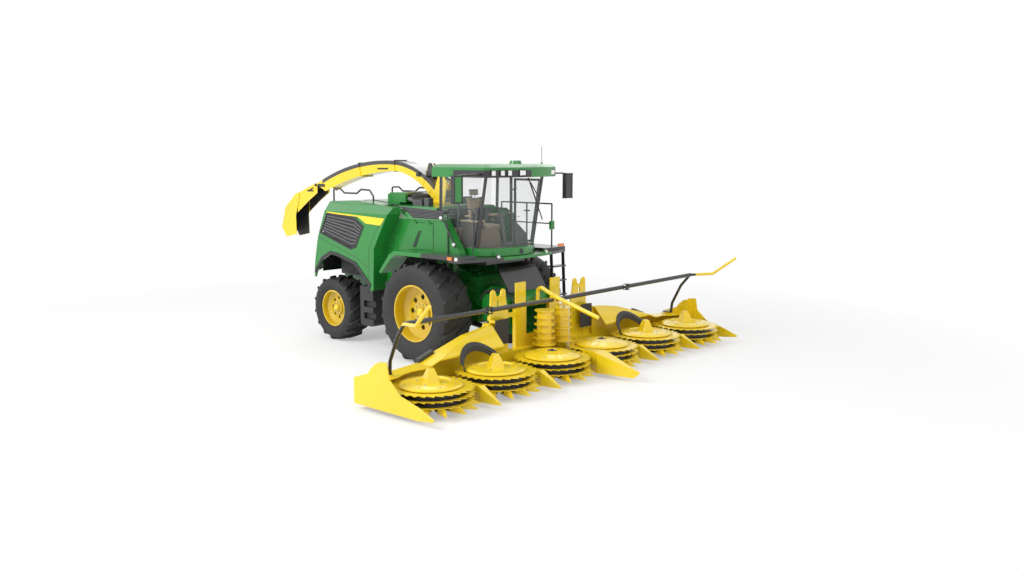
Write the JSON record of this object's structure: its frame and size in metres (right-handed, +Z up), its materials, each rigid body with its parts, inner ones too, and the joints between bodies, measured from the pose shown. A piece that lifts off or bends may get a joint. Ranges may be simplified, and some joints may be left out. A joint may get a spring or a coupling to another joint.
{
  "type": "forage harvester",
  "caption": "Green and yellow self-propelled forage harvester with a wide rotary maize header, a curved discharge spout and a glazed cab",
  "frame": {"origin": "on the ground under the middle of the overall length and width", "axes": "+X forward, the way the machine drives; +Y to the operator's left; +Z up"},
  "size_m": [10.89, 9, 4.2485],
  "materials": {
    "green_paint": "gloss",
    "yellow_paint": "gloss",
    "dark_plastic": "satin",
    "black_steel": "satin",
    "ram_chrome": "polished",
    "engine_metal": "matte",
    "tyre_rubber": "matte",
    "flap_rubber": "matte",
    "tinted_glass": "polished",
    "lamp_glass": "polished",
    "seat_cloth": "matte"
  },
  "bodies": {
    "machine": {"main_frame": "green_paint", "engine_block": "engine_metal", "front_axle": "green_paint", "rear_axle": "green_paint", "rear_hood": "green_paint", "side_grilles": "dark_plastic", "side_stripes": "yellow_paint", "side_tanks": "dark_plastic", "mid_body": "green_paint", "engine_top": "dark_plastic", "crop_channel": "green_paint", "rails": "black_steel", "platform": "dark_plastic", "cab_frame": "green_paint", "cab_roof": "green_paint", "cab_glass": "tinted_glass", "operator_seat": "seat_cloth", "cab_console": "dark_plastic", "mirrors": "dark_plastic", "lamps": "lamp_glass"},
    "service_door": {"service_door": "green_paint"},
    "cab_door": {"cab_door": "green_paint", "cab_door_glass": "tinted_glass"},
    "wheel_front_right": {"rim_front_right": "yellow_paint", "tyre_front_right": "tyre_rubber"},
    "wheel_front_left": {"rim_front_left": "yellow_paint", "tyre_front_left": "tyre_rubber"},
    "knuckle_right": {"knuckle_right": "green_paint"},
    "knuckle_left": {"knuckle_left": "green_paint"},
    "wheel_rear_right": {"rim_rear_right": "yellow_paint", "tyre_rear_right": "tyre_rubber"},
    "wheel_rear_left": {"rim_rear_left": "yellow_paint", "tyre_rear_left": "tyre_rubber"},
    "spout_turret": {"spout_turret": "yellow_paint"},
    "spout_boom": {"spout_boom": "yellow_paint"},
    "spout_barrel": {"spout_barrel": "black_steel"},
    "spout_rod": {"spout_rod": "ram_chrome"},
    "deflector_inner": {"deflector_inner": "yellow_paint"},
    "deflector_tip": {"deflector_tip": "yellow_paint"},
    "feeder": {"feeder_house": "green_paint", "header_frame": "yellow_paint", "rubber_flaps": "flap_rubber"},
    "lift_barrels": {"lift_barrels": "black_steel"},
    "lift_rods": {"lift_rods": "ram_chrome"},
    "drum_right": {"drum_right": "yellow_paint"},
    "drum_left": {"drum_left": "yellow_paint"},
    "wing_right": {"wing_frame_right": "yellow_paint", "push_bar_right": "black_steel"},
    "wing_left": {"wing_frame_left": "yellow_paint", "push_bar_left": "black_steel"},
    "bar_inner_right": {"push_bar_inner_right": "black_steel"},
    "bar_inner_left": {"push_bar_inner_left": "black_steel"},
    "rotor_inner_right": {"rotor_inner_right": "yellow_paint"},
    "rotor_inner_left": {"rotor_inner_left": "yellow_paint"},
    "rotor_middle_right": {"rotor_middle_right": "yellow_paint"},
    "rotor_middle_left": {"rotor_middle_left": "yellow_paint"},
    "rotor_outer_right": {"rotor_outer_right": "yellow_paint"},
    "rotor_outer_left": {"rotor_outer_left": "yellow_paint"}
  },
  "joints": [
    {"name": "wheel_front_right_spin", "type": "hinge", "parent": "machine", "child": "wheel_front_right", "pos_m": [1.24, -1.34, 1], "axis": [0, 1, 0], "continuous": true},
    {"name": "wheel_front_left_spin", "type": "hinge", "parent": "machine", "child": "wheel_front_left", "pos_m": [1.24, 1.34, 1], "axis": [0, 1, 0], "continuous": true},
    {"name": "steer_right", "type": "hinge", "parent": "machine", "child": "knuckle_right", "pos_m": [-1.875, -0.85, 0.72], "axis": [0, 0, 1], "range_deg": [-40, 40]},
    {"name": "wheel_rear_right_spin", "type": "hinge", "parent": "knuckle_right", "child": "wheel_rear_right", "pos_m": [-1.875, -1.05, 0.72], "axis": [0, 1, 0], "continuous": true},
    {"name": "steer_left", "type": "hinge", "parent": "machine", "child": "knuckle_left", "pos_m": [-1.875, 0.85, 0.72], "axis": [0, 0, 1], "range_deg": [-40, 40]},
    {"name": "wheel_rear_left_spin", "type": "hinge", "parent": "knuckle_left", "child": "wheel_rear_left", "pos_m": [-1.875, 1.05, 0.72], "axis": [0, 1, 0], "continuous": true},
    {"name": "service_door_hinge", "type": "hinge", "parent": "machine", "child": "service_door", "pos_m": [0.91, -1.114, 2.745], "axis": [-1, 0, 0], "range_deg": [0, 80]},
    {"name": "cab_door_hinge", "type": "hinge", "parent": "machine", "child": "cab_door", "pos_m": [1.573, 0.896, 2.9], "axis": [0, 0, 1], "range_deg": [0, 45]},
    {"name": "spout_turn", "type": "hinge", "parent": "machine", "child": "spout_turret", "pos_m": [0.38, 0, 3.06], "axis": [0, 0, 1], "range_deg": [-100, 100]},
    {"name": "spout_lift", "type": "hinge", "parent": "spout_turret", "child": "spout_boom", "pos_m": [0.48, 0, 3.175], "axis": [0, 1, 0], "range_deg": [0, 18]},
    {"name": "spout_ram_swing", "type": "hinge", "parent": "spout_turret", "child": "spout_barrel", "pos_m": [0.59, 0, 3.52], "axis": [0, 1, 0], "range_deg": [-1, 23.13]},
    {"name": "spout_ram_stroke", "type": "slide", "parent": "spout_barrel", "child": "spout_rod", "axis": [-0.8575, 0, 0.5145], "range_m": [-0.1073, 0.004]},
    {"name": "deflector_inner_hinge", "type": "hinge", "parent": "spout_boom", "child": "deflector_inner", "pos_m": [-3.95, 0, 3.372], "axis": [0, 1, 0], "range_deg": [-20, 15]},
    {"name": "deflector_tip_hinge", "type": "hinge", "parent": "deflector_inner", "child": "deflector_tip", "pos_m": [-4.695, 0, 3.12], "axis": [0, 1, 0], "range_deg": [-25, 25]},
    {"name": "header_lift", "type": "hinge", "parent": "machine", "child": "feeder", "pos_m": [1.8, 0, 1.18], "axis": [0, 1, 0], "range_deg": [-15, 0]},
    {"name": "lift_ram_swing", "type": "hinge", "parent": "machine", "child": "lift_barrels", "pos_m": [1.47, 0, 0.76], "axis": [0, 1, 0], "range_deg": [-11.59, 1]},
    {"name": "lift_ram_stroke", "type": "slide", "parent": "lift_barrels", "child": "lift_rods", "axis": [0.9932, 0, -0.1168], "range_m": [-0.004, 0.1158]},
    {"name": "drum_right_spin", "type": "hinge", "parent": "feeder", "child": "drum_right", "pos_m": [3.41, -0.26, 0.6], "axis": [0, 0, 1], "continuous": true},
    {"name": "wing_right_fold", "type": "hinge", "parent": "feeder", "child": "wing_right", "pos_m": [3.09, -1.5, 0.95], "axis": [-1, 0, 0], "range_deg": [0, 90]},
    {"name": "bar_right_swing", "type": "hinge", "parent": "wing_right", "child": "bar_inner_right", "pos_m": [3.7047, -2, 1.38], "axis": [0, 0, -1], "range_deg": [0, 175]},
    {"name": "drum_left_spin", "type": "hinge", "parent": "feeder", "child": "drum_left", "pos_m": [3.41, 0.26, 0.6], "axis": [0, 0, 1], "continuous": true},
    {"name": "wing_left_fold", "type": "hinge", "parent": "feeder", "child": "wing_left", "pos_m": [3.09, 1.5, 0.95], "axis": [1, 0, 0], "range_deg": [0, 90]},
    {"name": "bar_left_swing", "type": "hinge", "parent": "wing_left", "child": "bar_inner_left", "pos_m": [3.7047, 2, 1.38], "axis": [0, 0, 1], "range_deg": [0, 175]},
    {"name": "rotor_inner_right_spin", "type": "hinge", "parent": "feeder", "child": "rotor_inner_right", "pos_m": [4.02, -0.75, 0.3], "axis": [0, 0, 1], "continuous": true},
    {"name": "rotor_inner_left_spin", "type": "hinge", "parent": "feeder", "child": "rotor_inner_left", "pos_m": [4.02, 0.75, 0.3], "axis": [0, 0, 1], "continuous": true},
    {"name": "rotor_middle_right_spin", "type": "hinge", "parent": "wing_right", "child": "rotor_middle_right", "pos_m": [4.02, -2.25, 0.3], "axis": [0, 0, 1], "continuous": true},
    {"name": "rotor_middle_left_spin", "type": "hinge", "parent": "wing_left", "child": "rotor_middle_left", "pos_m": [4.02, 2.25, 0.3], "axis": [0, 0, 1], "continuous": true},
    {"name": "rotor_outer_right_spin", "type": "hinge", "parent": "wing_right", "child": "rotor_outer_right", "pos_m": [4.02, -3.75, 0.3], "axis": [0, 0, 1], "continuous": true},
    {"name": "rotor_outer_left_spin", "type": "hinge", "parent": "wing_left", "child": "rotor_outer_left", "pos_m": [4.02, 3.75, 0.3], "axis": [0, 0, 1], "continuous": true}
  ],
  "couplings": [
    {"joint": "steer_left", "follows": "steer_right", "ratio": 1},
    {"joint": "spout_ram_swing", "follows": "spout_lift", "ratio": 1.2294},
    {"joint": "spout_ram_stroke", "follows": "spout_lift", "m_per_rad": -0.32877},
    {"joint": "lift_ram_swing", "follows": "header_lift", "ratio": 0.7057},
    {"joint": "lift_ram_stroke", "follows": "header_lift", "m_per_rad": -0.42713},
    {"joint": "bar_right_swing", "follows": "wing_right_fold", "ratio": 1.9444},
    {"joint": "bar_left_swing", "follows": "wing_left_fold", "ratio": 1.9444}
  ]
}
